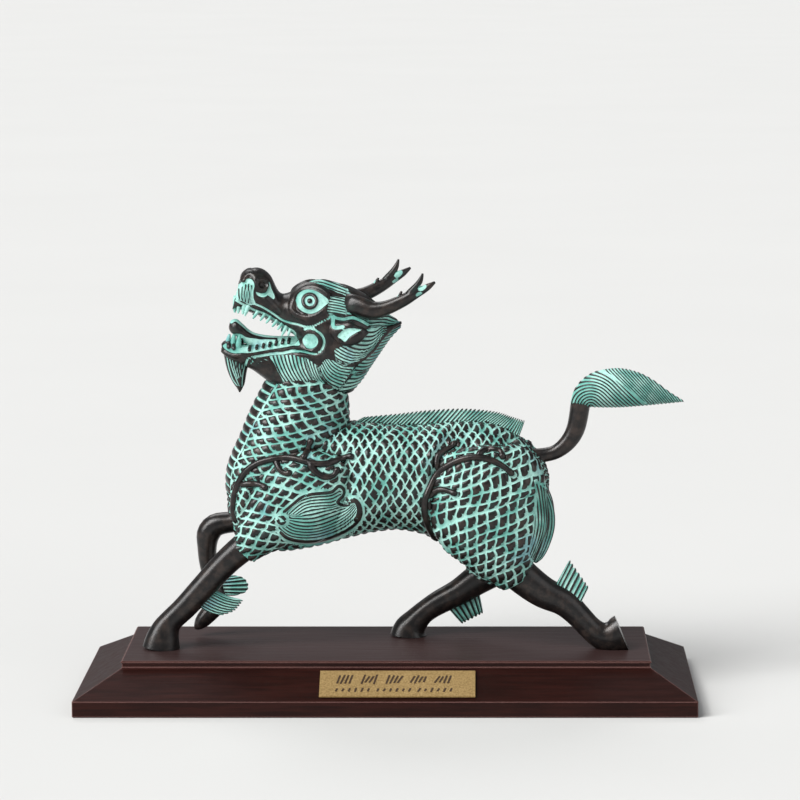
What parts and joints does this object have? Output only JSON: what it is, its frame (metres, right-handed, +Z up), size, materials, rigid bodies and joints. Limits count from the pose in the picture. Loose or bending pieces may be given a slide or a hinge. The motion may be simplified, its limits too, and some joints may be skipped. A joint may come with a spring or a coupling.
{
  "type": "qilin figure",
  "caption": "Cast bronze qilin with scales, antlers and a raised head, trotting on a stained wood plinth with a brass name plate.",
  "frame": {"origin": "centre of the plinth's underside", "axes": "+Z is up, +X runs along the plinth from the head's end to the tail's, and -Y faces the viewer, with the name plate"},
  "size_m": [0.26, 0.108, 0.1836],
  "materials": {
    "patinated_bronze": "dark satin bronze on the raised work, pale green patina in the recesses",
    "stained_wood": "dark red-brown stain under satin lacquer",
    "plate_brass": "fine matt brass with dark etched strokes"
  },
  "bodies": {
    "root": {"qilin_figure": "patinated_bronze", "plinth": "stained_wood", "name_plate": "plate_brass"}
  },
  "joints": []
}
